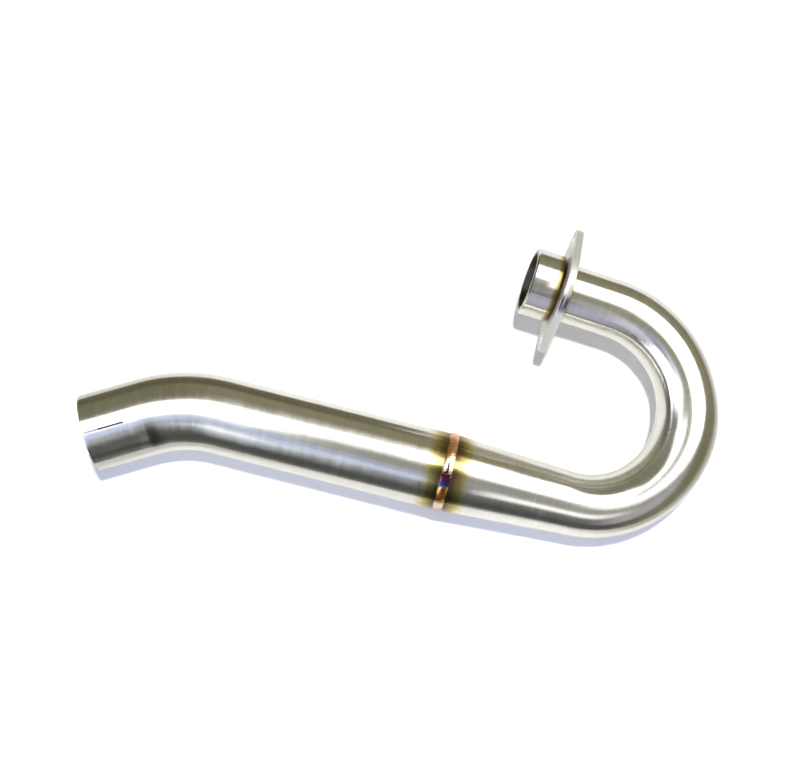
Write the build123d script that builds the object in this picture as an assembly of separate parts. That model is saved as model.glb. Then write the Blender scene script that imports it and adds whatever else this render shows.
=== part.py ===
from build123d import *
import math
import os

# Motorcycle exhaust header, in millimetres. The origin is the centre of the port
# face, +X follows the neck away from the port, and +Z points up from the surface
# on which the header lies.

# Tube sizes, outside diameters
neck_diameter = 38.1
bend_diameter = 41.3
mid_diameter = 50.8
tube_wall = 1.2

# Head pipe, from the port face to the welded joint
neck_length = 58.0
first_bend_radius = 71.0
first_bend_angle = 68.0
second_bend_radius = 62.0
second_bend_angle = 108.5
swage_lead_angle = 20.0
swage_tail_angle = 24.0
swage_sections = 5
cone_length = 78.5
cone_land = 5.0

# Mid pipe, from the welded joint to the rear end
mid_length = 149.0
tail_bend_radius = 95.0
tail_bend_angle = 30.0
tail_length = 38.0
slit_length = 27.0
slit_width = 1.2

# Port collar, a turned ring that the neck is pushed into
collar_diameter = 44.5
collar_length = 17.8
collar_socket_depth = 12.0
collar_socket_clearance = 0.05
collar_outer_chamfer = 1.0

# Loose stud flange behind the collar
flange_thickness = 5.0
flange_centre_radius = 30.0
flange_ear_radius = 7.0
flange_edge_chamfer = 0.4
flange_bore_clearance = 0.4
flange_weld_clearance = 0.3
stud_spacing = 69.0
stud_hole_diameter = 8.5

# Weld beads
joint_bead_width = 6.5
joint_bead_height = 0.6
collar_fillet_leg = 2.0

up = Vector(0, 0, 1)


def sine(degrees):
    return math.sin(math.radians(degrees))


def cosine(degrees):
    return math.cos(math.radians(degrees))


def ahead(station, length):
    """The station further along a straight run."""
    return station.offset(length)


def around(station, radius, angle):
    """The station at the end of a bend towards the station's own x direction."""
    along, side = station.z_dir, station.x_dir
    place = station.origin + side * (radius * (1 - cosine(angle))) + along * (radius * sine(angle))
    heading = along * cosine(angle) + side * sine(angle)
    facing = side * cosine(angle) - along * sine(angle)
    return Plane(place, x_dir=facing, z_dir=heading)


def turned_to(station, side):
    """The same station, set to bend towards another side."""
    return Plane(station.origin, x_dir=side, z_dir=station.z_dir)


def straight_core(station, length, radius):
    return extrude(station * Circle(radius), length)


def cone_core(station, length, start_radius, end_radius):
    return loft([station * Circle(start_radius), ahead(station, length) * Circle(end_radius)])


def bend_core(station, bend_radius, angle, radius):
    hinge = Axis(station.origin + station.x_dir * bend_radius, station.y_dir)
    return revolve(station * Circle(radius), axis=hinge, revolution_arc=angle)


def ring(station, outline):
    """A turned ring: an outline of (radius, place along the axis) points, spun round the axis."""
    section = Plane(station.origin, x_dir=station.x_dir, z_dir=station.x_dir.cross(station.z_dir))
    return revolve(section * make_face(outline), axis=Axis(station.origin, station.z_dir))


# Where the pieces lie along the neck, measured from the port face
pipe_start = collar_length - collar_socket_depth
flange_front = collar_length + collar_fillet_leg + flange_weld_clearance
flange_middle = flange_front + flange_thickness / 2

# The neck lifts out of the plane of the other bends, so that the rim of the flange
# and the mid pipe lie on one flat surface.
lift = flange_centre_radius - mid_diameter / 2
bend_reach = first_bend_radius * (1 - cosine(first_bend_angle))
neck_reach = (neck_length - flange_middle) * sine(first_bend_angle)
plane_slope = lift / (bend_reach + neck_reach)
neck_pitch = math.asin(plane_slope * sine(first_bend_angle))
side_rise = plane_slope * cosine(first_bend_angle)
side_along = side_rise * math.tan(neck_pitch)
side_across = -math.sqrt(1 - side_rise**2 - side_along**2)
port = Plane(
    (0, 0, 0),
    x_dir=(side_along, side_across, side_rise),
    z_dir=(math.cos(neck_pitch), 0, -math.sin(neck_pitch)),
)

# Stations along the centre line
neck_end = ahead(port, neck_length)
first_bend_end = around(neck_end, first_bend_radius, first_bend_angle)
flat_bend_start = turned_to(first_bend_end, first_bend_end.z_dir.cross(up))
second_bend_end = around(flat_bend_start, second_bend_radius, second_bend_angle)
joint = ahead(second_bend_end, cone_length + cone_land)
mid_end = ahead(joint, mid_length)
tail_bend_start = turned_to(mid_end, up.cross(mid_end.z_dir))
tail_start = around(tail_bend_start, tail_bend_radius, tail_bend_angle)
tail_end = ahead(tail_start, tail_length)


def swage_core(inset):
    """The stretch of the bend over which the tube grows to its larger size."""
    stations = []
    for step in range(swage_sections):
        turned = first_bend_angle - swage_lead_angle * (1 - step / swage_sections)
        stations.append(around(neck_end, first_bend_radius, turned))
    for step in range(swage_sections + 1):
        turned = swage_tail_angle * step / swage_sections
        stations.append(around(flat_bend_start, second_bend_radius, turned))
    sections = []
    for number, station in enumerate(stations):
        share = number / (len(stations) - 1)
        eased = share * share * (3 - 2 * share)
        diameter = neck_diameter + (bend_diameter - neck_diameter) * eased
        sections.append(station * Circle(diameter / 2 - inset))
    return loft(sections)


def head_core(inset):
    """The head pipe's outside shape, or its gas passage when set in by the wall."""
    neck_radius = neck_diameter / 2 - inset
    bend_radius = bend_diameter / 2 - inset
    joint_radius = mid_diameter / 2 - inset
    swage_end = around(flat_bend_start, second_bend_radius, swage_tail_angle)
    neck = straight_core(ahead(port, pipe_start), neck_length - pipe_start, neck_radius)
    first_bend = bend_core(neck_end, first_bend_radius, first_bend_angle - swage_lead_angle, neck_radius)
    second_bend = bend_core(
        swage_end, second_bend_radius, second_bend_angle - swage_tail_angle, bend_radius
    )
    cone = cone_core(second_bend_end, cone_length, bend_radius, joint_radius)
    land = straight_core(ahead(second_bend_end, cone_length), cone_land, joint_radius)
    return neck + first_bend + swage_core(inset) + second_bend + cone + land


def make_head_pipe():
    return head_core(0) - head_core(tube_wall)


def mid_core(inset):
    radius = mid_diameter / 2 - inset
    run = straight_core(joint, mid_length, radius)
    bend = bend_core(tail_bend_start, tail_bend_radius, tail_bend_angle, radius)
    tail = straight_core(tail_start, tail_length, radius)
    return run + bend + tail


def make_mid_pipe():
    """One saw cut through both walls lets the rear end close under a clamp."""
    across = tail_end.z_dir.cross(up)
    slit_middle = tail_end.origin - tail_end.z_dir * (slit_length / 2)
    cut_place = Plane(slit_middle, x_dir=tail_end.z_dir, z_dir=across)
    saw_cut = cut_place * Box(slit_length, 2 * mid_diameter, slit_width)
    return mid_core(0) - mid_core(tube_wall) - saw_cut


def make_joint_weld():
    pipe_radius = mid_diameter / 2
    half_width = joint_bead_width / 2
    crown = ThreePointArc(
        (pipe_radius, -half_width),
        (pipe_radius + joint_bead_height, 0),
        (pipe_radius, half_width),
    )
    base = Line((pipe_radius, half_width), (pipe_radius, -half_width))
    return ring(joint, crown + base)


def make_port_collar():
    outside = collar_diameter / 2
    bore = neck_diameter / 2 - tube_wall
    socket = neck_diameter / 2 + collar_socket_clearance
    outline = Polyline(
        (bore, 0),
        (outside - collar_outer_chamfer, 0),
        (outside, collar_outer_chamfer),
        (outside, collar_length),
        (socket, collar_length),
        (socket, pipe_start),
        (bore, pipe_start),
        close=True,
    )
    return ring(port, outline)


def make_collar_weld():
    pipe_radius = neck_diameter / 2
    outline = Polyline(
        (pipe_radius, collar_length),
        (pipe_radius + collar_fillet_leg, collar_length),
        (pipe_radius, collar_length + collar_fillet_leg),
        close=True,
    )
    return ring(port, outline)


def make_stud_flange():
    face = turned_to(ahead(port, flange_front), Vector(0, 1, 0))
    ear_places = Locations((stud_spacing / 2, 0), (-stud_spacing / 2, 0))
    discs = [Circle(flange_centre_radius)]
    discs += [place * Circle(flange_ear_radius) for place in ear_places]
    disc_edges = [disc.edge() for disc in discs]
    plate = extrude(face * make_hull(disc_edges), flange_thickness)
    plate = chamfer(plate.edges(), flange_edge_chamfer)
    holes = [Circle(neck_diameter / 2 + flange_bore_clearance)]
    holes += [place * Circle(stud_hole_diameter / 2) for place in ear_places]
    for hole in holes:
        plate -= extrude(face * hole, flange_thickness)
    return plate


pieces = {
    "head_pipe": make_head_pipe(),
    "mid_pipe": make_mid_pipe(),
    "joint_weld": make_joint_weld(),
    "port_collar": make_port_collar(),
    "collar_weld": make_collar_weld(),
    "stud_flange": make_stud_flange(),
}

os.makedirs("parts", exist_ok=True)
for name, piece in pieces.items():
    export_step(piece, f"parts/{name}.step")
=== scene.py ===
import bpy
from math import acos, asin, atan2, cos, exp, pi, radians, sin, sqrt, tan
from mathutils import Matrix, Vector
from mathutils.geometry import tessellate_polygon


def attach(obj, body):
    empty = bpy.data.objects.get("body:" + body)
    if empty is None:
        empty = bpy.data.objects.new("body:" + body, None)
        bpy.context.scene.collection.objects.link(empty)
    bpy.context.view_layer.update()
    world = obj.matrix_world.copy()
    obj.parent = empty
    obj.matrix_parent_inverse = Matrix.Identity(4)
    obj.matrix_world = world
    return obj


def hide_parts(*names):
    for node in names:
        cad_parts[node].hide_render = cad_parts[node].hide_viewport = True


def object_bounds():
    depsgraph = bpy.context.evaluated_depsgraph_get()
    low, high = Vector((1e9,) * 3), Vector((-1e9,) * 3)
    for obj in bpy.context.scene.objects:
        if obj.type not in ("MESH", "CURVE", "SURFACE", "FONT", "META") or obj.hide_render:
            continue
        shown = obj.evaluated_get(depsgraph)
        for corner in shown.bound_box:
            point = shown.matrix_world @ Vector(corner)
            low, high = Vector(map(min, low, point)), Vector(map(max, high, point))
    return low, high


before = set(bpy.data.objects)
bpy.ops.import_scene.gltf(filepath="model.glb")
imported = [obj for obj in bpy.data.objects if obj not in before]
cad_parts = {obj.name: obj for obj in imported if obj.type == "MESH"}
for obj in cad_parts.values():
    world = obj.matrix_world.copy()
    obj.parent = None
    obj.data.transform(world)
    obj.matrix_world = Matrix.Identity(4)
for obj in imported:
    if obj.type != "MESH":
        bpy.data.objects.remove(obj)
cad_low, cad_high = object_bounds()
scene = bpy.context.scene

# Head pipe
# One stainless tube, bent on a mandrel into a J, swaged a little wider in the bend and opened
# to a cone at the rear. It is polished with a belt, whose marks run round the tube, and the
# heat of the two welds has left straw and brown rings at its ends.
up = Vector((0, 0, 1))
neck_radius = 0.01905
bend_radius = 0.02065
mid_radius = 0.0254
tube_wall = 0.0012
neck_length = 0.058
first_bend = (0.071, radians(68.0))
second_bend = (0.062, radians(108.5))
swage_lead = radians(20.0)
swage_tail = radians(24.0)
cone_length = 0.0785
cone_land = 0.005
collar_length = 0.0178
collar_socket_depth = 0.012
collar_fillet_leg = 0.002
flange_weld_clearance = 0.0003
flange_thickness = 0.005
flange_centre_radius = 0.030
pipe_start = collar_length - collar_socket_depth
flange_front = collar_length + collar_fillet_leg + flange_weld_clearance
flange_middle = flange_front + flange_thickness / 2


def ahead(station, length):
    """The station further along a straight run; a station is a place, a heading and a side."""
    place, heading, side = station
    return place + heading * length, heading, side


def around(station, radius, angle):
    """The station after a bend towards the station's own side."""
    place, heading, side = station
    turned = place + side * (radius * (1 - cos(angle))) + heading * (radius * sin(angle))
    return turned, heading * cos(angle) + side * sin(angle), side * cos(angle) - heading * sin(angle)


def turned_to(station, side):
    """The same station, set to bend towards another side."""
    return station[0], station[1], side


# The neck lifts out of the plane of the other bends, until the flange's rim rests on the ground.
lift = flange_centre_radius - mid_radius
bend_reach = first_bend[0] * (1 - cos(first_bend[1]))
neck_reach = (neck_length - flange_middle) * sin(first_bend[1])
plane_slope = lift / (bend_reach + neck_reach)
neck_pitch = asin(plane_slope * sin(first_bend[1]))
side_rise = plane_slope * cos(first_bend[1])
side_along = side_rise * tan(neck_pitch)
side_across = -sqrt(1 - side_rise**2 - side_along**2)
port = (
    Vector((0, 0, 0)),
    Vector((cos(neck_pitch), 0, -sin(neck_pitch))),
    Vector((side_along, side_across, side_rise)),
)
neck_end = ahead(port, neck_length)
first_bend_end = around(neck_end, *first_bend)
flat_bend_start = turned_to(first_bend_end, first_bend_end[1].cross(up).normalized())
second_bend_end = around(flat_bend_start, *second_bend)
joint = ahead(second_bend_end, cone_length + cone_land)

first_bend_length = first_bend[0] * first_bend[1]
second_bend_length = second_bend[0] * second_bend[1]
swage_start = first_bend_length - first_bend[0] * swage_lead
swage_length = first_bend[0] * swage_lead + second_bend[0] * swage_tail
cone_start = neck_length + first_bend_length + second_bend_length
joint_start = cone_start + cone_length + cone_land


def swaged_radius(bent):
    """The tube's radius after a length of bend; it grows smoothly over the swage."""
    share = min(1.0, max(0.0, (bent - swage_start) / swage_length))
    return neck_radius + (bend_radius - neck_radius) * share * share * (3 - 2 * share)


def steps(start, end, pitch):
    """Even values from start to end, about a pitch apart."""
    count = max(1, round((end - start) / pitch))
    return [start + (end - start) * i / count for i in range(count + 1)]


ring_pitch = 0.002
bend_pitch = radians(1.5)
head_rings = []
for length in steps(pipe_start, neck_length, ring_pitch):
    head_rings.append((ahead(port, length), neck_radius, length))
for angle in steps(0, first_bend[1], bend_pitch)[1:]:
    bent = first_bend[0] * angle
    head_rings.append((around(neck_end, first_bend[0], angle), swaged_radius(bent), neck_length + bent))
for angle in steps(0, second_bend[1], bend_pitch)[1:]:
    bent = first_bend_length + second_bend[0] * angle
    station = around(flat_bend_start, second_bend[0], angle)
    head_rings.append((station, swaged_radius(bent), neck_length + bent))
for length in steps(0, cone_length, ring_pitch)[1:]:
    radius = bend_radius + (mid_radius - bend_radius) * length / cone_length
    head_rings.append((ahead(second_bend_end, length), radius, cone_start + length))
for length in steps(0, cone_land, ring_pitch)[1:]:
    station = ahead(second_bend_end, cone_length + length)
    head_rings.append((station, mid_radius, cone_start + cone_length + length))

half_columns = 72
slit_half_width = 0.0006
rim_radius = 0.0002
rim_turns = [radians(angle) for angle in (15, 45, 75)]
crisp_angle = radians(38.0)
grain_scale = 6
length_tolerance = 1e-6


def wall_loop(rings, wall):
    """The tube wall's outline as rings: outside, rounded rim, inside back, rounded rim."""
    def rim(ring, inward):
        station, radius, length = ring
        outer = [(rim_radius * (1 - sin(t)), radius - rim_radius * (1 - cos(t))) for t in rim_turns]
        inner = [(back, 2 * radius - wall - r) for back, r in reversed(outer)]
        return [(ahead(station, inward * back), r, length + inward * back) for back, r in outer + inner]

    outside = [(ahead(rings[0][0], rim_radius), rings[0][1], rings[0][2] + rim_radius)]
    outside += rings[1:-1]
    outside += [(ahead(rings[-1][0], -rim_radius), rings[-1][1], rings[-1][2] - rim_radius)]
    inside = [(station, radius - wall, length) for station, radius, length in reversed(outside)]
    return outside, rim(rings[-1], -1), inside, list(reversed(rim(rings[0], 1)))


def ring_points(station, radius):
    """Points round a ring from the top to the left, with a saw blade's gap at top and bottom."""
    place, heading, _ = station
    top = (up - heading * up.dot(heading)).normalized()
    left = heading.cross(top)
    edge = asin(slit_half_width / radius)
    turns = [edge + (pi - 2 * edge) * i / (half_columns - 1) for i in range(half_columns)]
    turns += [turn + pi for turn in turns]
    return [(place + (top * cos(turn) + left * sin(turn)) * radius, turn) for turn in turns]


def keep_places(mesh, rows):
    """Keeps each point's place on the straight blank, its turn, and whether it is inside."""
    mesh.attributes.new("blank", "FLOAT_VECTOR", "POINT").data.foreach_set(
        "vector", [value for row in rows for value in row[:3]]
    )
    mesh.attributes.new("turn", "FLOAT", "POINT").data.foreach_set("value", [row[3] for row in rows])
    mesh.attributes.new("inside", "FLOAT", "POINT").data.foreach_set("value", [row[4] for row in rows])
    layer = mesh.uv_layers.new(name="grain")
    for loop in mesh.loops:
        row = rows[loop.vertex_index]
        layer.data[loop.index].uv = (row[2] * grain_scale, row[3])


def new_object(name, points, faces):
    """A mesh object of points and faces, linked to the scene."""
    mesh = bpy.data.meshes.new(name)
    mesh.from_pydata(points, [], faces)
    made = bpy.data.objects.new(name, mesh)
    scene.collection.objects.link(made)
    return made


def new_piece(name, points, faces, rows):
    """A smooth shaded piece with crisp edges, which knows its points' places on the blank."""
    piece = new_object(name, points, faces)
    piece.data.polygons.foreach_set("use_smooth", [True] * len(faces))
    piece.data.set_sharp_from_angle(angle=crisp_angle)
    keep_places(piece.data, rows)
    return piece


def tube(name, rings, wall, slit_start=None):
    """A round tube wall; beyond slit_start its top and bottom are sawn through."""
    outside, far_rim, inside, near_rim = wall_loop(rings, wall)
    loop = outside + far_rim + inside + near_rim
    columns = 2 * half_columns
    points, rows, faces = [], [], []
    for number, (station, radius, length) in enumerate(loop):
        inner = 1.0 if len(outside) + len(far_rim) <= number < len(loop) - len(near_rim) else 0.0
        for place, turn in ring_points(station, radius):
            points.append(place)
            rows.append((radius * cos(turn), radius * sin(turn), length, turn / (2 * pi), inner))
    slit_columns = (half_columns - 1, columns - 1)

    def sawn(k):
        return slit_start is not None and loop[k][2] > slit_start - length_tolerance

    for k in range(len(loop)):
        after = (k + 1) % len(loop)
        for i in range(columns):
            if i in slit_columns and sawn(k) and sawn(after):
                continue
            j = (i + 1) % columns
            faces.append((k * columns + i, k * columns + j, after * columns + j, after * columns + i))
    if slit_start is not None:
        # The cut's two flanks and its blind end, through the wall at top and bottom.
        count = len(outside)
        first = min(k for k in range(count) if sawn(k))
        partner = {k: count + len(far_rim) + count - 1 - k for k in range(count)}
        for i in slit_columns:
            j = (i + 1) % columns
            for k in range(first, count - 1):
                outer, outer_next, inner, inner_next = k, k + 1, partner[k], partner[k + 1]
                faces.append(tuple(r * columns + i for r in (outer, outer_next, inner_next, inner)))
                faces.append(tuple(r * columns + j for r in (outer, inner, inner_next, outer_next)))
            end_rim = list(range(count - 1, count + len(far_rim) + 1))
            faces.append(tuple(r * columns + i for r in end_rim))
            faces.append(tuple(r * columns + j for r in reversed(end_rim)))
            outer, inner = first * columns, partner[first] * columns
            faces.append((outer + i, inner + i, inner + j, outer + j))
    return new_piece(name, points, faces, rows)


head_pipe = tube("head_pipe_tube", head_rings, tube_wall)

node_spacing = 180
black, white = (0, 0, 0), (1, 1, 1)


def feed(tree, into, values):
    """Gives a node its input values: a socket is linked, a number or a colour is set."""
    for key, value in values.items():
        if isinstance(value, bpy.types.NodeSocket):
            tree.links.new(value, into.inputs[key])
        else:
            into.inputs[key].default_value = value


def node(tree, kind, settings=None, values=None):
    """A new node beside the last one, with its settings and its input values."""
    made = tree.nodes.new(kind)
    made.location = node_spacing * len(tree.nodes), 0
    for key, value in (settings or {}).items():
        setattr(made, key, value)
    feed(tree, made, values or {})
    return made


def attribute(tree, name, output="Fac"):
    """A value that the piece keeps at its points."""
    return node(tree, "ShaderNodeAttribute", {"attribute_name": name}).outputs[output]


def maths(tree, operation, *values):
    """A math node fed with sockets or numbers; gives its output."""
    return node(tree, "ShaderNodeMath", {"operation": operation}, dict(enumerate(values))).outputs[0]


def noise(tree, vector, stretch, detail):
    """Noise over a vector that is first stretched; gives a value about one half."""
    scaled = node(tree, "ShaderNodeVectorMath", {"operation": "MULTIPLY"}, {0: vector, 1: stretch})
    values = {"Vector": scaled.outputs[0], "Scale": 1.0, "Detail": detail}
    return node(tree, "ShaderNodeTexNoise", None, values).outputs["Fac"]


def ramp(tree, value, stops):
    """A colour ramp with stops of (position, colour)."""
    made = node(tree, "ShaderNodeValToRGB", None, {0: value})
    band = made.color_ramp
    while len(band.elements) < len(stops):
        band.elements.new(1.0)
    for element, (position, colour) in zip(band.elements, stops):
        element.position = position
        element.color = (*colour, 1)
    return made.outputs[0]


def mixed(tree, blend, factor, *colours):
    """Two colours blended; each is a socket or a colour, the factor a socket or a number."""
    first, second = [(*colour, 1) if isinstance(colour, tuple) else colour for colour in colours]
    settings = {"data_type": "RGBA", "blend_type": blend}
    return node(tree, "ShaderNodeMix", settings, {0: factor, 6: first, 7: second}).outputs[2]


def group(name, inputs, outputs):
    """A shader node group with named sockets; gives the tree, its input and its output node."""
    made = bpy.data.node_groups.new(name, "ShaderNodeTree")
    for socket, kind in inputs:
        made.interface.new_socket(socket, in_out="INPUT", socket_type=kind)
    for socket, kind in outputs:
        made.interface.new_socket(socket, in_out="OUTPUT", socket_type=kind)
    return made, node(made, "NodeGroupInput"), node(made, "NodeGroupOutput")


# Belt polish: fine lines round the tube, soft clouds between them, and a slight waviness.
fine_marks, broad_marks = ((40, 40, 620), 1.0), ((35, 35, 230), 2.0)
cloud_marks, wave_marks = ((70, 70, 45), 3.0), ((150, 150, 60), 1.0)
polish_marks = (fine_marks, broad_marks, cloud_marks, wave_marks)
fine_share, broad_share = 0.55, 0.45
cloud_roughness, line_roughness = 0.10, 0.12
wave_height = 5.0
polish, given, result = group(
    "belt_polish",
    (("Blank", "NodeSocketVector"), ("Roughness", "NodeSocketFloat")),
    (("Shade", "NodeSocketColor"), ("Roughness", "NodeSocketFloat"), ("Height", "NodeSocketFloat")),
)
fine, broad, cloud, wave = [noise(polish, given.outputs["Blank"], *marks) for marks in polish_marks]
fine = maths(polish, "MULTIPLY", fine, fine_share)
broad = maths(polish, "MULTIPLY", broad, broad_share)
lines = maths(polish, "ADD", fine, broad)
shade = ramp(polish, lines, ((0.30, (0.91, 0.91, 0.91)), (0.70, (1.0, 1.0, 1.0))))
cloud = maths(polish, "SUBTRACT", cloud, 0.5)
rough = maths(polish, "MULTIPLY_ADD", cloud, cloud_roughness, given.outputs["Roughness"])
line = maths(polish, "SUBTRACT", lines, 0.5)
rough = maths(polish, "MULTIPLY_ADD", line, line_roughness, rough)
height = maths(polish, "MULTIPLY_ADD", wave, wave_height, lines)
feed(polish, result, {"Shade": shade, "Roughness": rough, "Height": height})

# Heat tint: oxide rings beside a weld, from dark brown through olive to straw, by the distance.
ragged_stretch = (210, 210, 60)
ragged_share = 0.34
heat, given, result = group(
    "weld_heat_tint",
    (("Distance", "NodeSocketFloat"), ("Blank", "NodeSocketVector"), ("Reach", "NodeSocketFloat")),
    (("Tint", "NodeSocketColor"),),
)
ragged = noise(heat, given.outputs["Blank"], ragged_stretch, 3.0)
ragged = maths(heat, "SUBTRACT", ragged, 0.5)
away = maths(heat, "DIVIDE", given.outputs["Distance"], given.outputs["Reach"])
away = maths(heat, "MULTIPLY_ADD", ragged, ragged_share, away)
tint = ramp(heat, away, (
    (0.15, (0.19, 0.135, 0.07)),
    (0.30, (0.24, 0.18, 0.08)),
    (0.42, (0.39, 0.32, 0.13)),
    (0.54, (0.54, 0.46, 0.18)),
    (0.68, (0.80, 0.71, 0.38)),
    (0.82, (0.95, 0.90, 0.73)),
    (0.97, (1.0, 1.0, 1.0)),
))
feed(heat, result, {"Tint": tint})

belt_grain = 0.75
# The insides of the tubes and the collar's bore are painted dark, as painted shade in the hollow.
inside_shade_colour = (0.10, 0.094, 0.084)
inside_roughness = 0.25


def new_material(name):
    """A new material with nodes; gives it and its node tree."""
    material = bpy.data.materials.new(name)
    material.use_nodes = True
    return material, material.node_tree


def steel_material(name, colour, roughness, grain, welds, dark_patch=None):
    """Bright steel; welds are (place along, reach of the tint), the last argument is (colour, line
    stretch) of a darker patch.
    """
    material, tree = new_material(name)
    blank = attribute(tree, "blank", "Vector")
    polished = {"Blank": blank, "Roughness": roughness}
    surface = node(tree, "ShaderNodeGroup", {"node_tree": polish}, polished).outputs
    base = mixed(tree, "MULTIPLY", 1.0, colour, surface["Shade"])
    along = node(tree, "ShaderNodeSeparateXYZ", None, {0: blank}).outputs["Z"]
    for place, reach in welds:
        apart = maths(tree, "ABSOLUTE", maths(tree, "SUBTRACT", along, place))
        heated = {"Distance": apart, "Blank": blank, "Reach": reach}
        oxide = node(tree, "ShaderNodeGroup", {"node_tree": heat}, heated)
        base = mixed(tree, "MULTIPLY", 1.0, base, oxide.outputs["Tint"])
    if dark_patch:
        dark_patch_colour, line_stretch = dark_patch
        streaks = noise(tree, blank, line_stretch, 2.0)
        streaks = ramp(tree, streaks, ((0.36, black), (0.46, white)))
        share = maths(tree, "MULTIPLY", attribute(tree, "dark_patch"), streaks)
        base = mixed(tree, "MULTIPLY", share, base, dark_patch_colour)
    inside = attribute(tree, "inside")
    bump = {"Strength": 1.0, "Distance": grain, "Height": surface["Height"]}
    tangent = {"direction_type": "UV_MAP", "uv_map": "grain"}
    feed(tree, tree.nodes["Principled BSDF"], {
        "Metallic": 1.0,
        "Anisotropic": belt_grain,
        "Base Color": mixed(tree, "MIX", inside, base, inside_shade_colour),
        "Roughness": maths(tree, "MULTIPLY_ADD", inside, inside_roughness, surface["Roughness"]),
        "Normal": node(tree, "ShaderNodeBump", None, bump).outputs["Normal"],
        "Tangent": node(tree, "ShaderNodeTangent", tangent).outputs["Tangent"],
    })
    return material


tube_colour = (0.82, 0.81, 0.775)
tube_roughness = 0.23
polish_depth = 0.000003
joint_tint_reach = 0.0170
neck_tint_reach = 0.0058
neck_tint_start = flange_front + 0.0030
joint_tint = (joint_start, joint_tint_reach)
neck_tint = (neck_tint_start, neck_tint_reach)
# The tool mark's dark colour is painted shade for the dent on the mid pipe.
tool_dent_shade = ((0.30, 0.30, 0.29), (30, 30, 30))
tube_steel = steel_material(
    "polished_tube", tube_colour, tube_roughness, polish_depth, (joint_tint, neck_tint), tool_dent_shade
)
head_pipe.data.materials.append(tube_steel)
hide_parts("head_pipe")
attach(head_pipe, "pipe")

# Mid pipe
# Drawn stainless tube of the same polish, butt welded to the head pipe's cone and bent a little
# near its rear end, where one saw cut lets it close on the silencer under a clamp.
mid_length = 0.149
tail_bend = (0.095, radians(30.0))
tail_length = 0.038
slit_length = 0.027
mid_end = ahead(joint, mid_length)
tail_bend_start = turned_to(mid_end, up.cross(mid_end[1]).normalized())
tail_start = around(tail_bend_start, *tail_bend)
tail_from = joint_start + mid_length + tail_bend[0] * tail_bend[1]
mid_rings = []
for length in steps(0, mid_length, ring_pitch):
    mid_rings.append((ahead(joint, length), mid_radius, joint_start + length))
for angle in steps(0, tail_bend[1], bend_pitch)[1:]:
    bent = joint_start + mid_length + tail_bend[0] * angle
    mid_rings.append((around(tail_bend_start, tail_bend[0], angle), mid_radius, bent))
slit_from = tail_length - slit_length
tail_lengths = steps(0, slit_from, ring_pitch) + steps(slit_from, tail_length, ring_pitch)[1:]
for length in tail_lengths[1:]:
    mid_rings.append((ahead(tail_start, length), mid_radius, tail_from + length))
mid_pipe = tube("mid_pipe_tube", mid_rings, tube_wall, tail_from + slit_from)

# The bending tool's clamp left a shallow dent at the end of the bend; the dark patch beside it is
# painted shade, standing in for the dent's dark reflection.
mark_place = joint_start + 0.1958
mark_turn = radians(-32.0)
mark_depth = 0.0004
mark_length = 0.0040
mark_width = radians(14.0)
dent_shade_edge = 0.0010
dent_shade_fade = 0.0055
dent_shade_width = radians(22.0)
outward = [vertex.normal.copy() for vertex in mid_pipe.data.vertices]
dent_shades = []
for vertex, normal, row in zip(mid_pipe.data.vertices, outward, mid_pipe.data.attributes["blank"].data):
    first, second, along = row.vector
    outer = first * first + second * second > (mid_radius - tube_wall / 2)**2
    turned = atan2(second, first) - mark_turn
    dent = exp(-(((along - mark_place) / mark_length)**2 + (turned / mark_width)**2) / 2)
    vertex.co += normal * ((-1 if outer else 1) * mark_depth * dent)
    behind = (along - mark_place) / (dent_shade_edge if along > mark_place else dent_shade_fade)
    dent_shades.append(exp(-behind * behind / 2 - (turned / dent_shade_width)**4) if outer else 0.0)
mid_pipe.data.attributes.new("dark_patch", "FLOAT", "POINT").data.foreach_set("value", dent_shades)
mid_pipe.data.materials.append(tube_steel)
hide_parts("mid_pipe")
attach(mid_pipe, "pipe")

# Joint weld
# The bead that joins the two tubes: low, fused in one pass, with fine ripples from the torch.
# It keeps the strongest heat colours: copper, purple, blue and brown in patches round the joint.
# Its paler colour at the top is a painted highlight, and a pale stretch lower round it is a painted
# reflection of the floor.
bead_half_width = 0.00325
bead_height = 0.0006
bead_root = 0.0003
bead_root_share = 0.9
bead_sunk = 0.00002
bead_rows = 12
ripple_pitch = 0.0017
ripple_height = 0.00003
ripple_columns = 6
ripple_unevenness = 0.35
ripple_swells = 7
ripple_phase = 1.0
joint_ripple_lean = 900.0


def turned_ring(name, station, outline, columns, ripple=None, inner_radius=0.0):
    """A ring spun from an outline of (radius, place along, share of ripple) points."""
    place, heading, _ = station
    top = (up - heading * up.dot(heading)).normalized()
    left = heading.cross(top)
    points, rows, faces = [], [], []
    for radius, along, share in outline:
        inside = 1.0 if radius < inner_radius else 0.0
        for i in range(columns):
            turn = 2 * pi * i / columns
            grown = radius
            if ripple:
                count, rise, lean = ripple
                swell = 1 + ripple_unevenness * sin(ripple_swells * turn + ripple_phase)
                grown += share * rise * cos(count * turn + lean * along) * swell
            points.append(place + heading * along + (top * cos(turn) + left * sin(turn)) * grown)
            rows.append((radius * cos(turn), radius * sin(turn), along, i / columns, inside))
    count = len(outline)
    for k in range(count):
        for i in range(columns):
            j, after = (i + 1) % columns, (k + 1) % count
            faces.append((k * columns + i, k * columns + j, after * columns + j, after * columns + i))
    return new_piece(name, points, faces, rows)


bead_outline = []
for i in range(bead_rows + 1):
    across = -1 + 2 * i / bead_rows
    rise = 1 - across * across
    bead_outline.append((mid_radius - bead_sunk + bead_height * rise, bead_half_width * across, rise))
for share in (bead_root_share, -bead_root_share):
    bead_outline.append((mid_radius - bead_root, bead_half_width * share, 0))
joint_ripples = round(2 * pi * mid_radius / ripple_pitch)
joint_weld = turned_ring(
    "joint_weld_bead", joint, bead_outline, ripple_columns * joint_ripples,
    (joint_ripples, ripple_height, joint_ripple_lean),
)

# Heat colours round the bead; the pale stops at the top are a painted highlight, those near 0.84 a
# painted reflection of the floor.
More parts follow.
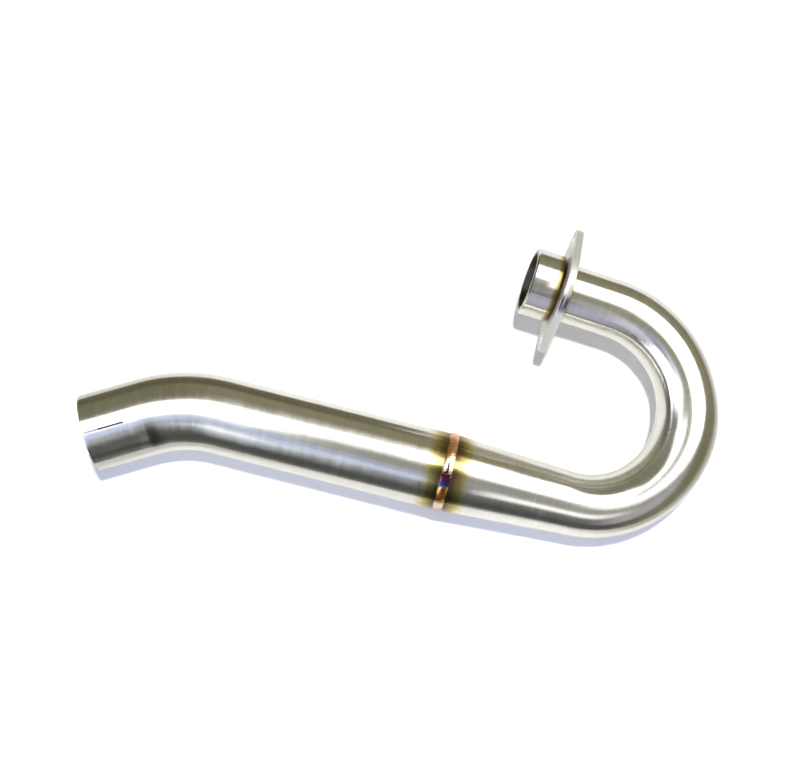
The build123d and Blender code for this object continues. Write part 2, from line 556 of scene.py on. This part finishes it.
bead_heat_and_sheen_colours = (
    (0.000, (0.62, 0.50, 0.42)),
    (0.045, (0.74, 0.56, 0.42)),
    (0.070, (0.72, 0.40, 0.21)),
    (0.190, (0.80, 0.42, 0.22)),
    (0.250, (0.52, 0.28, 0.16)),
    (0.330, (0.10, 0.12, 0.34)),
    (0.430, (0.60, 0.36, 0.12)),
    (0.520, (0.24, 0.07, 0.16)),
    (0.610, (0.14, 0.18, 0.36)),
    (0.700, (0.60, 0.36, 0.12)),
    (0.785, (0.46, 0.16, 0.16)),
    (0.815, (0.62, 0.40, 0.38)),
    (0.835, (0.78, 0.70, 0.62)),
    (0.862, (0.80, 0.72, 0.56)),
    (0.878, (0.58, 0.23, 0.06)),
    (0.932, (0.66, 0.33, 0.08)),
    (0.940, (0.54, 0.50, 0.16)),
    (0.947, (0.05, 0.07, 0.30)),
    (0.968, (0.05, 0.03, 0.20)),
    (0.980, (0.17, 0.02, 0.10)),
    (0.996, (0.13, 0.02, 0.05)),
)

patch_stretch = (260, 260, 260)
grit_stretch = (1500, 1500, 1500)
grit_depth = 0.000008
patch_shift = 0.05
patch_wander = 0.5
bead_roughness = 0.14
patch_roughness = 0.2


def bead_material(name, colours, half_width, edge_colour, middle_line=None):
    """Fused weld metal: colours round the bead, another along one edge, a dark line in the middle near
    the top.
    """
    material, tree = new_material(name)
    blank = attribute(tree, "blank", "Vector")
    patch = noise(tree, blank, patch_stretch, 2.0)
    turn = maths(tree, "SUBTRACT", patch, 0.5)
    turn = maths(tree, "MULTIPLY_ADD", turn, patch_shift, attribute(tree, "turn"))
    turn = maths(tree, "FRACT", turn)
    colour = ramp(tree, turn, colours)
    side = node(tree, "ShaderNodeSeparateXYZ", None, {0: blank}).outputs["Z"]
    side = maths(tree, "SUBTRACT", maths(tree, "DIVIDE", side, half_width), patch_wander / 2)
    side = maths(tree, "MULTIPLY_ADD", patch, patch_wander, side)
    edge = ramp(tree, side, ((0.72, black), (1.05, white)))
    colour = mixed(tree, "MIX", edge, colour, edge_colour)
    if middle_line:
        middle = maths(tree, "ABSOLUTE", side)
        middle = ramp(tree, middle, ((0.14, white), (0.34, black)))
        top = ramp(tree, turn, ((0.040, white), (0.060, black)))
        colour = mixed(tree, "MIX", maths(tree, "MULTIPLY", middle, top), colour, middle_line)
    grit = noise(tree, blank, grit_stretch, 2.0)
    bump = {"Strength": 1.0, "Distance": grit_depth, "Height": grit}
    feed(tree, tree.nodes["Principled BSDF"], {
        "Metallic": 1.0,
        "Base Color": colour,
        "Roughness": maths(tree, "MULTIPLY_ADD", patch, patch_roughness, bead_roughness),
        "Normal": node(tree, "ShaderNodeBump", None, bump).outputs["Normal"],
    })
    return material


bead_edge_colour = (0.20, 0.14, 0.10)
# A darker colour for a line along the bead's middle, near its top.
middle_line_colour = (0.035, 0.022, 0.018)
joint_metal = bead_material(
    "joint_weld_bead", bead_heat_and_sheen_colours, bead_half_width, bead_edge_colour, middle_line_colour
)
joint_weld.data.materials.append(joint_metal)
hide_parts("joint_weld")
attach(joint_weld, "pipe")

# Port collar
# A turned ring of stainless on the end of the neck, which seats in the cylinder head's port.
# It is bright from the lathe, chamfered at the mouth and browned at the back by its weld.
collar_radius = 0.02225
collar_chamfer = 0.001
edge_break = 0.0002
socket_clearance = 0.00005
bore_radius = neck_radius - tube_wall
socket_radius = neck_radius + socket_clearance
collar_outline = [
    (bore_radius, edge_break, 0), (bore_radius + edge_break, 0, 0),
    (collar_radius - collar_chamfer, 0, 0), (collar_radius, collar_chamfer, 0),
    (collar_radius, collar_length - edge_break, 0), (collar_radius - edge_break, collar_length, 0),
    (socket_radius, collar_length, 0), (socket_radius, pipe_start, 0), (bore_radius, pipe_start, 0),
]
port_collar = turned_ring(
    "port_collar_ring", port, collar_outline, 2 * half_columns, None, socket_radius
)
collar_colour = (0.80, 0.79, 0.77)
collar_roughness = 0.21
collar_tint_reach = 0.0052
collar_tint = (collar_length + collar_fillet_leg / 2, collar_tint_reach)
collar_steel = steel_material(
    "turned_collar", collar_colour, collar_roughness, polish_depth, (collar_tint,)
)
port_collar.data.materials.append(collar_steel)
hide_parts("port_collar")
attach(port_collar, "pipe")

# Collar weld
# A small fillet weld round the neck, in the corner behind the collar, which holds the two together.
# It is brown and blue from its heat, with the same fine ripples as the bead at the joint. Its colours
# are also darkened as painted shade, for the shadowed gap between the collar and the flange.
fillet_rows = 8
fillet_bulge = 0.00018
fillet_ripple_lean = 600.0
fillet_outline = [(neck_radius - bead_sunk, collar_length - bead_sunk, 0)]
for i in range(fillet_rows + 1):
    share = i / fillet_rows
    swell = sin(pi * share)
    radius = neck_radius + collar_fillet_leg * (1 - share) + fillet_bulge * swell
    along = collar_length + collar_fillet_leg * share + fillet_bulge * swell
    fillet_outline.append((radius, along, swell))
collar_ripples = round(2 * pi * neck_radius / ripple_pitch)
collar_weld = turned_ring(
    "collar_weld_fillet", port, fillet_outline, ripple_columns * collar_ripples,
    (collar_ripples, ripple_height, fillet_ripple_lean),
)
# Heat colours of the fillet, and its edge colour below, darkened as painted shade for the gap.
fillet_heat_and_shade_colours = (
    (0.00, (0.22, 0.14, 0.07)),
    (0.16, (0.12, 0.08, 0.04)),
    (0.30, (0.14, 0.12, 0.20)),
    (0.45, (0.30, 0.19, 0.10)),
    (0.62, (0.16, 0.16, 0.25)),
    (0.80, (0.12, 0.08, 0.05)),
    (0.92, (0.16, 0.10, 0.08)),
)
fillet_edge_heat_and_shade = (0.10, 0.07, 0.05)
fillet_reach = 0.02
fillet_metal = bead_material("collar_weld_fillet", fillet_heat_and_shade_colours, fillet_reach, fillet_edge_heat_and_shade)
collar_weld.data.materials.append(fillet_metal)
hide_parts("collar_weld")
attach(collar_weld, "pipe")

# Stud flange
# A loose steel plate behind the collar, cut to an oval with two ears. Two studs pull it against
# the collar; it turns freely round the neck. Its faces are brushed, and its rim keeps cutting lines.
ear_radius = 0.007
stud_spacing = 0.069
stud_hole_radius = 0.00425
bore_clearance = 0.0004
flange_bore_radius = neck_radius + bore_clearance
plate_round = 0.0004
hole_break = 0.00015
ear_points, broad_points, hole_points = 24, 64, 96
brush_scale = 20
tangent_angle = acos((flange_centre_radius - ear_radius) / (stud_spacing / 2))
flange_place, flange_heading, _ = ahead(port, flange_front)
flange_across = Vector((0, 1, 0))
flange_rise = flange_heading.cross(flange_across)


def plate_outline(inset):
    """The plate's outline: two ear arcs and two broad arcs, joined by straight flanks."""
    corners = []
    for half_turn, middle in ((0, stud_spacing / 2), (pi, -stud_spacing / 2)):
        ear = (middle, ear_radius, -tangent_angle, tangent_angle, ear_points)
        broad = (0, flange_centre_radius, tangent_angle, pi - tangent_angle, broad_points)
        for centre, radius, start, end, count in (ear, broad):
            for i in range(count + 1):
                turn = half_turn + start + (end - start) * i / count
                corners.append((centre + (radius - inset) * cos(turn), (radius - inset) * sin(turn)))
    return corners


def hole_outline(middle, radius):
    turns = [2 * pi * i / hole_points for i in range(hole_points)]
    return [(middle + radius * cos(turn), radius * sin(turn)) for turn in turns]


points, rows, faces = [], [], []


def plate_loop(outline, depth):
    """Adds a closed loop of points at a depth in the plate; gives their numbers."""
    start = len(points)
    length = 0.0
    for number, (x, y) in enumerate(outline):
        if number:
            length += sqrt((x - outline[number - 1][0])**2 + (y - outline[number - 1][1])**2)
        points.append(flange_place + flange_across * x + flange_rise * y + flange_heading * depth)
        rows.append((x, y, depth, length * brush_scale, 0.0))
    return list(range(start, len(points)))


def plate_wall(first, second):
    for i in range(len(first)):
        j = (i + 1) % len(first)
        faces.append((first[i], first[j], second[j], second[i]))


plate_turns = [radians(angle) for angle in (0, 30, 60, 90)]
rim_steps = [(plate_round * (1 - sin(turn)), plate_round * (1 - cos(turn))) for turn in plate_turns]
rim_loops = [plate_loop(plate_outline(inset), depth) for inset, depth in rim_steps]
for inset, depth in reversed(rim_steps):
    rim_loops.append(plate_loop(plate_outline(inset), flange_thickness - depth))
for first, second in zip(rim_loops, rim_loops[1:]):
    plate_wall(first, second)
front_loops, back_loops = [rim_loops[0]], [rim_loops[-1]]
plate_holes = [(0, flange_bore_radius)]
plate_holes += [(middle, stud_hole_radius) for middle in (stud_spacing / 2, -stud_spacing / 2)]
for middle, radius in plate_holes:
    hole_loops = [
        plate_loop(hole_outline(middle, radius + hole_break), 0),
        plate_loop(hole_outline(middle, radius), hole_break),
        plate_loop(hole_outline(middle, radius), flange_thickness - hole_break),
        plate_loop(hole_outline(middle, radius + hole_break), flange_thickness),
    ]
    for first, second in zip(hole_loops, hole_loops[1:]):
        plate_wall(second, first)
    front_loops.append(hole_loops[0])
    back_loops.append(hole_loops[-1])
for loops, facing in ((front_loops, -1), (back_loops, 1)):
    numbers = [number for loop in loops for number in loop]
    flat = [[Vector((rows[number][0], rows[number][1], 0)) for number in loop] for loop in loops]
    for a, b, c in tessellate_polygon(flat):
        a, b, c = numbers[a], numbers[b], numbers[c]
        (ax, ay), (bx, by), (cx, cy) = (rows[number][:2] for number in (a, b, c))
        turn = (bx - ax) * (cy - ay) - (by - ay) * (cx - ax)
        faces.append((a, b, c) if turn * facing > 0 else (a, c, b))
stud_flange = new_piece("stud_flange_plate", points, faces, rows)
# The rim is darker in a band beside the neck.
dark_band_turn = radians(-20.0)
dark_band_width = radians(12.0)
rim_inner = flange_centre_radius - plate_round / 2
dark_band_shares = []
for x, y, *_ in rows:
    on_rim = x * x + y * y > rim_inner**2 and abs(x) < flange_centre_radius
    dark_band_shares.append(exp(-((atan2(x, y) - dark_band_turn) / dark_band_width)**4) if on_rim else 0.0)
stud_flange.data.attributes.new("dark_patch", "FLOAT", "POINT").data.foreach_set("value", dark_band_shares)

# A grey skin dulls the plate's metal in patches.
flange_colour = (0.93, 0.925, 0.91)
flange_roughness = 0.56
brush_depth = 0.000005
# The next colour darkens a band of the rim, beside the neck.
rim_dark_band = ((0.10, 0.10, 0.15), (60, 60, 900))
skin_stretch = (420, 420, 420)
skin_share = -0.30
bare_metal = 0.80
flange_steel = steel_material(
    "brushed_flange", flange_colour, flange_roughness, brush_depth, (), rim_dark_band
)
tree = flange_steel.node_tree
skin = noise(tree, attribute(tree, "blank", "Vector"), skin_stretch, 3.0)
skin = maths(tree, "MULTIPLY_ADD", skin, skin_share, bare_metal)
feed(tree, tree.nodes["Principled BSDF"], {"Metallic": skin})
stud_flange.data.materials.append(flange_steel)
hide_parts("stud_flange")
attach(stud_flange, "flange")

# Floor
# A wide sheet of pale paper on which the header lies. To the camera it glows up to white, so that
# only the header's lilac shadow shows; polished metal sees it a little dimmer and creamier. The glow
# is bluish, which paints the shadow's lilac tint, and dimmer in the hollow of the hook, as painted
# shade.
floor_height = cad_low.z
picture_roll = radians(17.76)
picture_right = Vector((cos(picture_roll), sin(picture_roll), 0))
picture_up = Vector((-sin(picture_roll), cos(picture_roll), 0))
picture_middle = Vector((-0.0586, -0.0888, -0.0066))


def on_floor(right, upward, height=0.0):
    """A place above the floor, in metres from the picture's middle."""
    place = picture_middle + picture_right * right + picture_up * upward
    return place.x, place.y, floor_height + height


def stage_sheet(name, corners, height):
    """A flat sheet of the stage, with (right, upward) corners."""
    places = [on_floor(*corner, height) for corner in corners]
    sheet = new_object(name, places, [tuple(range(len(places)))])
    return sheet


floor_half = 11.0
floor_sides = ((-1, -1), (1, -1), (1, 1), (-1, 1))
paper_colour = (0.86, 0.86, 0.87, 1)
# The bluish glow tints the shadow lilac; the dimmer glow of the hook's hollow is painted shade there.
open_glow = (0.37, 0.39, 0.51)
hook_shade_glow = (0.22, 0.22, 0.245)
hollow_width, hollow_depth = 0.134, 0.067
hollow_way = picture_right / hollow_width + picture_up / hollow_depth
hollow_share_at_middle = 0.165
hollow_start = hollow_share_at_middle - picture_middle.dot(hollow_way)
far_glow = (1.0, 1.0, 1.0)
far_scale = 0.5
mirror_tint = (1.05, 1.04, 0.66)
mirror_share = 0.35
floor = stage_sheet("floor", [(x * floor_half, y * floor_half) for x, y in floor_sides], 0.0)
paper, tree = new_material("pale_paper")
tree.nodes.clear()
path = node(tree, "ShaderNodeLightPath").outputs
mirrored = maths(tree, "MAXIMUM", path["Is Glossy Ray"], path["Is Transmission Ray"])
place = node(tree, "ShaderNodeTexCoord").outputs["Object"]
hollow = node(tree, "ShaderNodeVectorMath", {"operation": "DOT_PRODUCT"}, {0: place, 1: hollow_way})
hollow_share = maths(tree, "ADD", hollow.outputs["Value"], hollow_start)
paper_glow = ramp(tree, hollow_share, ((0.2, open_glow), (0.9, hook_shade_glow)))
paper_glow = mixed(tree, "MULTIPLY", mirrored, paper_glow, mirror_tint)
away = node(tree, "ShaderNodeVectorMath", {"operation": "DISTANCE"}, {0: place, 1: picture_middle})
far_share = maths(tree, "MULTIPLY", away.outputs["Value"], far_scale)
far_share = ramp(tree, far_share, ((0.25, black), (0.9, white)))
paper_glow = mixed(tree, "MIX", far_share, paper_glow, far_glow)
seen = maths(tree, "MULTIPLY_ADD", mirrored, mirror_share, path["Is Camera Ray"])
diffuse = node(tree, "ShaderNodeBsdfDiffuse", None, {"Color": paper_colour})
glow = node(tree, "ShaderNodeEmission", None, {"Color": paper_glow, "Strength": seen})
both = node(tree, "ShaderNodeAddShader", None, {0: diffuse.outputs[0], 1: glow.outputs[0]})
node(tree, "ShaderNodeOutputMaterial", None, {"Surface": both.outputs[0]})
floor.data.materials.append(paper)

# Dark flags
# Olive-dark felt laid on the floor round the header, and the dim room beyond it, all out of the
# camera's sight. Polished metal shows them as its dark bands.
picture_pixel = 0.00067
picture_centre = (400, 383.5)
flag_height = 0.001
low_corners = (
    (-13000, 250), (-100, 330), (60, 322), (110, 308), (180, 296), (250, 300), (400, 342), (450, 350),
    (470, 300), (470, 180), (540, 110), (640, 128), (740, 185), (830, 290), (880, 420), (960, 540),
    (900, 650), (820, 770), (730, 920), (660, 1500), (660, 13000), (13000, 13000), (13000, -13000),
    (-13000, -13000),
)
far_corners = (
    (-13000, 560), (0, 620), (150, 690), (300, 810), (410, 1000), (470, 1600), (470, 13000),
    (-13000, 13000),
)


def flat_glow(name, colour, strength=1.0):
    """A surface that only glows, for the things that polished metal reflects."""
    material, tree = new_material(name)
    tree.nodes.clear()
    values = {"Color": (*colour, 1), "Strength": strength}
    emission = node(tree, "ShaderNodeEmission", None, values)
    node(tree, "ShaderNodeOutputMaterial", None, {"Surface": emission.outputs[0]})
    return material


def only_mirrored(item):
    """Leaves a thing of the stage to be seen in reflections only."""
    item.visible_camera = False
    item.visible_diffuse = False
    item.visible_shadow = False
    item.visible_transmission = False
    item.visible_volume_scatter = False


def felt_flag(name, corners):
    """Felt on the floor; its corners are in pixels of the picture."""
    middle, level = picture_centre
    places = [((x - middle) * picture_pixel, (level - y) * picture_pixel) for x, y in corners]
    felt = stage_sheet(name, places, flag_height)
    only_mirrored(felt)
    return felt


low_felt_start, low_felt_end = (0.135, 0.125, 0.07), (0.23, 0.22, 0.14)
felt_fade, felt_middle = 3.0, 0.6
low_flag = felt_flag("low_flag", low_corners)
felt = flat_glow("olive_felt", low_felt_end)
tree = felt.node_tree
place = node(tree, "ShaderNodeTexCoord").outputs["Object"]
across = node(tree, "ShaderNodeSeparateXYZ", None, {0: place}).outputs["X"]
felt_share = maths(tree, "MULTIPLY_ADD", across, felt_fade, felt_middle)
felt_colour = ramp(tree, felt_share, ((0.0, low_felt_start), (1.0, low_felt_end)))
feed(tree, tree.nodes["Emission"], {"Color": felt_colour})
low_flag.data.materials.append(felt)
far_flag = felt_flag("far_flag", far_corners)
far_felt_colour = (0.11, 0.115, 0.09)
far_flag.data.materials.append(flat_glow("dark_felt", far_felt_colour))

room_radius = 9.0
room_rows, room_columns = 24, 48
room_points, room_faces = [], []
for row in range(room_rows + 1):
    rise = pi / 2 * row / room_rows
    for column in range(room_columns):
        turn = 2 * pi * column / room_columns
        reach = room_radius * cos(rise)
        room_points.append((reach * cos(turn), reach * sin(turn), room_radius * sin(rise)))
for row in range(room_rows):
    below, above = row * room_columns, (row + 1) * room_columns
    for column in range(room_columns):
        beside = (column + 1) % room_columns
        room_faces.append((below + column, below + beside, above + beside, above + column))
room = new_object("room", room_points, room_faces)
room_place = Matrix.Translation((picture_middle.x, picture_middle.y, floor_height))
room.matrix_world = room_place @ Matrix.Rotation(picture_roll, 4, "Z")
only_mirrored(room)
wall_colours = (
    (0.28, (0.07, 0.075, 0.065)),
    (0.45, (0.25, 0.24, 0.17)),
    (0.72, (0.18, 0.17, 0.10)),
    (0.90, (0.28, 0.26, 0.165)),
)
wall_fade, wall_middle = 0.35, 0.5
ceiling_colour = (0.31, 0.30, 0.26)
walls = flat_glow("dim_room", ceiling_colour)
tree = walls.node_tree
place = node(tree, "ShaderNodeTexCoord").outputs["Object"]
facing = node(tree, "ShaderNodeVectorMath", {"operation": "NORMALIZE"}, {0: place}).outputs[0]
axes = node(tree, "ShaderNodeSeparateXYZ", None, {0: facing}).outputs
around_room = maths(tree, "ADD", axes["X"], axes["Y"])
around_room = maths(tree, "MULTIPLY_ADD", around_room, wall_fade, wall_middle)
horizon = ramp(tree, around_room, wall_colours)
upper = ramp(tree, axes["Z"], ((0.70, black), (0.97, white)))
room_colour = mixed(tree, "MIX", upper, horizon, ceiling_colour)
feed(tree, tree.nodes["Emission"], {"Color": room_colour})
room.data.materials.append(walls)

# Reflection cards
# Small cards of paper and felt with soft edges, held close above the header, stood beside it or
# laid on the floor, out of the camera's sight. Each lifts or darkens one band of the polished metal.
millimetre = 0.001
near_height = 0.0619
floor_card_height = 0.0015
hung_height = 0.092


def faded_glow(name, colour, strength, one_sided):
    """A glow that fades out where the card's cover does; a one-sided card is clear from behind."""
    material = flat_glow(name, colour, strength)
    tree = material.node_tree
    cover = attribute(tree, "cover")
    if one_sided:
        behind = node(tree, "ShaderNodeNewGeometry").outputs["Backfacing"]
        cover = maths(tree, "MULTIPLY", cover, maths(tree, "SUBTRACT", 1.0, behind))
    clear = node(tree, "ShaderNodeBsdfTransparent").outputs[0]
    layers = {0: cover, 1: clear, 2: tree.nodes["Emission"].outputs[0]}
    blend = node(tree, "ShaderNodeMixShader", None, layers)
    feed(tree, tree.nodes["Material Output"], {"Surface": blend.outputs[0]})
    return material


def soft_card(name, rows, colour, strength=1.0, one_sided=False):
    """A card with a soft edge; a row is a list of (place, cover), and all rows are equally long."""
    width = len(rows[0])
    faces = []
    for row in range(len(rows) - 1):
        for column in range(width - 1):
            corner = width * row + column
            faces.append((corner, corner + 1, corner + width + 1, corner + width))
    card = new_object(name, [place for row in rows for place, _ in row], faces)
    covers = [float(cover) for row in rows for _, cover in row]
    card.data.attributes.new("cover", "FLOAT", "POINT").data.foreach_set("value", covers)
    card.data.materials.append(faded_glow(name, colour, strength, one_sided))
    only_mirrored(card)


def near_card(name, feather, colour, edges, strength=1.0, height=near_height):
    """A level soft strip; each row holds its two edge points, in millimetres, and its cover."""
    rows = []
    for *ends, cover in edges:
        first, second = Vector(ends[:2]), Vector(ends[2:])
        side = (second - first).normalized() * (feather / 2)
        across = ((first - side, 0), (first + side, cover), (second - side, cover), (second + side, 0))
        rows.append([(on_floor(*(place * millimetre), height), share) for place, share in across])
    soft_card(name, rows, colour, strength)


near_card("collar_card", 5, (0.24, 0.23, 0.18), (
    (72, 61.6, 76, 73.5, 0), (79, 59.2, 83, 71, 0.9), (93, 54.5, 97, 66.2, 0.9),
    (96, 53.5, 100, 65.2, 0),
))
near_card("crease_card", 7, (0.28, 0.27, 0.19), (
    (103.5, 52.3, 107.1, 63.6, 0.9), (108.2, 50.7, 111.8, 62, 1), (118.2, 47.3, 121.8, 59.2, 1),
    (127.6, 44.1, 131.3, 56.2, 1), (137.1, 40.9, 140.8, 52.8, 1), (145.7, 37, 150.5, 48.7, 0.95),
    (152.5, 31.3, 158.9, 42.5, 0.9), (158.5, 25.9, 166.7, 36.1, 0.85),
    (163.7, 19.7, 173.4, 28.9, 0.85), (168.1, 12.9, 178.8, 20.5, 0.85),
    (171.6, 5.8, 182.2, 11.2, 0.85), (173.5, -1.3, 184.3, 2.5, 0.85),
    (171.5, -8.4, 183.7, -6.3, 0.9), (168.5, -15.8, 183.7, -15.2, 0.9),
    (167, -22.1, 179.8, -24.3, 0.6), (165.4, -27.3, 172.8, -32.6, 0),
))
near_card("sheen_card", 8, (0.86, 0.88, 0.98), (
    (131, 37, 126, 5, 0), (139, 33, 131, -2, 0.45), (147, 28, 133, -6, 0.8),
    (153, 23, 133, -10, 0.8), (158, 18, 132, -13, 0.35), (162, 12, 131, -16, 0),
))
near_card("hollow_card", 8, (0.2, 0.19, 0.13), (
    (140, -14, 162, -20, 0), (137.7, -20.5, 163, -27.5, 0.9), (133.7, -33.8, 165, -35, 1),
    (128, -37, 166.5, -45, 1), (126, -43, 162.5, -52, 1), (129, -51, 157, -58, 1),
    (134.7, -58, 148, -61, 0),
))
near_card("cone_card", 7, (0.3, 0.3, 0.265), (
    (158.5, -78.4, 161.3, -83.5, 0), (147.9, -80.4, 150.3, -87.7, 0.2),
    (137.6, -81.6, 139, -89, 0.35), (127, -79, 127, -89.7, 0.6), (113.2, -73.2, 110.9, -86.6, 0.95),
    (74.9, -63.8, 71.7, -76.5, 1), (34.8, -53.6, 31.8, -65.9, 1), (-5.1, -43.5, -8, -55.8, 1),
    (-44, -33.7, -47, -46, 0.9), (-63.8, -30, -66.6, -41, 0.7), (-84.6, -28.5, -86.7, -35.5, 0.4),
    (-104, -26, -106, -31, 0),
))
near_card("cream_card", 6, (1, 0.985, 0.92), (
    (158, -86, 160, -94, 0), (151, -89, 153.6, -98, 0.25), (140, -91.5, 141, -101, 0.6),
    (127, -92, 127.3, -103, 0.9), (111, -89, 109, -98.5, 1), (80, -81.5, 79, -90.5, 1),
    (60, -76.5, 59, -85.5, 0.8), (42, -72, 41, -80.5, 0),
), strength=1.35)
near_card("blue_card", 5, (0.66, 0.74, 0.95), (
    (33, -69.1, 31, -77.6, 0), (23.5, -66.7, 21.5, -75.2, 0.75), (10.8, -63.5, 8.8, -72, 0.85),
    (-28.2, -53.6, -30.2, -62.1, 0.9), (-67.3, -43.2, -69.3, -51.7, 0.9),
    (-87.4, -37.5, -89.4, -46, 0.75), (-106.5, -31, -108.5, -39.5, 0.35), (-126, -26, -128, -34, 0),
))
near_card("right_floor_card", 60, (0.28, 0.27, 0.2), (
    (221, 96, 335, 96, 0), (234, 56, 348, 56, 0.6), (245, 2, 362, 2, 0.75),
    (248, -38, 375, -38, 0.75), (238, -78, 375, -78, 0.75), (218, -118, 368, -118, 0.75),
    (188, -158, 342, -158, 0.75), (158, -199, 302, -199, 0.7), (134, -239, 268, -239, 0.6),
    (121, -279, 241, -279, 0),
), height=floor_card_height)
near_card("tail_floor_card", 35, (0.22, 0.22, 0.18), (
    (-241, -92, -241, -212, 0), (-194, -85, -194, -225, 0.3), (-154, -88, -154, -252, 0.45),
    (-114, -118, -114, -279, 0.3), (-60, -158, -60, -299, 0),
), height=floor_card_height)
near_card("hollow_floor_card", 8, (0.5, 0.5, 0.38), (
    (67, -33, 67, -16, 0), (96, -41, 98.5, -22, 0.25), (128, -51, 126.5, -31, 0.45),
    (154, -45, 141, -31, 0.45), (166, -27, 149, -19, 0.3), (168, -12, 152, -9, 0),
), height=floor_card_height)
near_card("rear_top_floor_card", 12, (0.4, 0.4, 0.32), (
    (-255, 6, -255, 49, 0), (-221, 8, -221, 51, 0.4), (-181, 17, -181, 56, 0.33),
    (-141, 21, -141, 61, 0.12), (-94, 19, -94, 56, 0),
), height=floor_card_height)
near_card("bright_floor_card", 25, (1, 0.99, 0.95), (
    (20, -110, 20, -255, 0), (54, -112, 54, -255, 0.6), (94, -120, 94, -255, 0.6),
    (127, -122, 127, -235, 0.45), (161, -115, 161, -180, 0),
), strength=1.3, height=floor_card_height)
hook_corners = ((0.106, 0.032), (0.140, 0.040), (0.147, 0.020), (0.139, 0.003), (0.116, 0.003))
joint_corners = ((0.024, -0.012), (0.061, -0.017), (0.053, -0.043), (0.020, -0.040))
for name, corners, colour, strength in (
    ("hook_card", hook_corners, (0.40, 0.40, 0.38), 1.0),
    ("joint_card", joint_corners, (1.0, 0.985, 0.96), 9.0),
):
    card = stage_sheet(name, corners, hung_height)
    card.data.materials.append(flat_glow(name, colour, strength))
    only_mirrored(card)
lilac_foot = ((0.137, 0.006), (0.062, 0.032))
lilac_heights = (0.048, 0.088)
soft_card("lilac_card", [
    [(on_floor(*foot, height), 1.0) for foot in lilac_foot] for height in lilac_heights
], (0.42, 0.42, 0.51), one_sided=True)
cone_side_upward = 0.0157
cone_side_places = ((0.020, 0.0), (0.045, 0.8), (0.135, 0.8), (0.165, 0.0))
cone_side_heights = ((0.0005, 0.25), (0.006, 0.7), (0.014, 1.0), (0.040, 1.0), (0.054, 0.0))
soft_card("cone_side_card", [
    [(on_floor(right, cone_side_upward, height), share * cover) for right, cover in cone_side_places]
    for height, share in cone_side_heights
], (0.36, 0.34, 0.23), one_sided=True)

# Studio light
# Shaped panels of soft light overhead: a warm key above right that runs on above the long leg, a
# cooler fill at lower left, two faint blue strips and a dim side panel. One small lamp casts the
# shadow, and the open air round the stage is white.
panel_height = 2.6


def panel(name, radiance, colour, corners):
    """A soft panel overhead; its corners are (right, upward) per metre of its height."""
    sheet = stage_sheet(name, [(x * panel_height, y * panel_height) for x, y in corners], panel_height)
    sheet.data.materials.append(flat_glow(name, colour, radiance))
    sheet.visible_camera = False
    sheet.visible_diffuse = False


panel("key_panel", 3.4, (1.0, 0.985, 0.955), (
    (-0.75, 0.62), (-0.20, 0.60), (-0.03, 0.71), (0.25, 0.81), (0.50, 1.10), (0.85, 1.55),
    (1.25, 1.35), (1.95, 0.95), (2.00, 0.60), (1.75, 0.20), (1.40, -0.02), (1.17, -0.21),
    (0.81, -0.28), (0.56, -0.28), (0.36, -0.21), (0.27, -0.13), (0.23, -0.02), (0.25, 0.20),
    (0.12, 0.35), (0.00, 0.31), (-0.12, 0.00), (-0.27, -0.17), (-0.75, -0.24),
))
panel("fill_panel", 2.8, (0.88, 0.945, 1.05), (
    (-0.36, -0.78), (-1.60, -2.50), (-2.45, -2.00), (-2.50, -1.30), (-2.10, -0.50), (-1.60, 0.15),
    (-0.68, 0.06), (-0.58, -0.14), (-0.47, -0.40),
))
panel("blue_strip", 0.80, (0.70, 0.82, 1.26), (
    (-0.38, -0.14), (-0.05, -0.06), (0.02, -0.40), (-0.33, -0.43),
))
panel("faint_strip", 0.35, (0.70, 0.82, 1.20), (
    (-0.41, -0.43), (0.00, -0.40), (0.02, -0.52), (-0.38, -0.56),
))
panel("side_panel", 0.50, (0.98, 0.96, 1.0), (
    (0.50, -0.50), (1.20, -0.60), (1.60, -1.50), (1.20, -2.60), (0.50, -2.60), (0.40, -1.60),
    (0.33, -0.90),
))
lamp = bpy.data.lights.new("shadow_lamp", "AREA")
lamp.size = 0.12
lamp.energy = 53.0
lamp.color = (1.0, 0.985, 0.95)
lamp_distance = 2.4
lamp_polar, lamp_azimuth = radians(14.8), radians(80.0)
lamp_side = picture_right * cos(lamp_azimuth) + picture_up * sin(lamp_azimuth)
lamp_way = lamp_side * sin(lamp_polar) + up * cos(lamp_polar)
lamp_place = Matrix.Translation(picture_middle + lamp_way * lamp_distance)
shadow_lamp = bpy.data.objects.new("shadow_lamp", lamp)
shadow_lamp.matrix_world = lamp_place @ lamp_way.to_track_quat("Z", "Y").to_matrix().to_4x4()
shadow_lamp.visible_camera = False
shadow_lamp.visible_glossy = False
scene.collection.objects.link(shadow_lamp)

air_light = 0.15
air_seen = 0.85
world = bpy.data.worlds.new("studio")
scene.world = world
world.use_nodes = True
tree = world.node_tree
tree.nodes.clear()
path = node(tree, "ShaderNodeLightPath").outputs
seen = maths(tree, "MAXIMUM", path["Is Camera Ray"], path["Is Glossy Ray"])
seen = maths(tree, "MAXIMUM", seen, path["Is Transmission Ray"])
seen = maths(tree, "MULTIPLY_ADD", seen, air_seen, air_light)
air = node(tree, "ShaderNodeBackground", None, {"Color": (1, 1, 1, 1), "Strength": seen})
node(tree, "ShaderNodeOutputWorld", None, {"Surface": air.outputs[0]})

# Camera
# A plain camera straight above the header, where the photograph was taken from. Its place, roll
# and lens were fitted to the edges in the photograph.
lens = bpy.data.cameras.new("camera")
lens.sensor_width = 36.0
lens.lens = 63.3
lens.clip_start = 0.01
lens.clip_end = 50.0
camera = bpy.data.objects.new("camera", lens)
camera_place = Vector((-0.06678, -0.10386, 0.90996))
backward = (camera_place - picture_middle).normalized()
rightward = (picture_right - backward * picture_right.dot(backward)).normalized()
camera_axes = Matrix((rightward, backward.cross(rightward), backward)).transposed()
camera.matrix_world = Matrix.Translation(camera_place) @ camera_axes.to_4x4()
scene.collection.objects.link(camera)
scene.camera = camera
scene.view_settings.view_transform = "Standard"
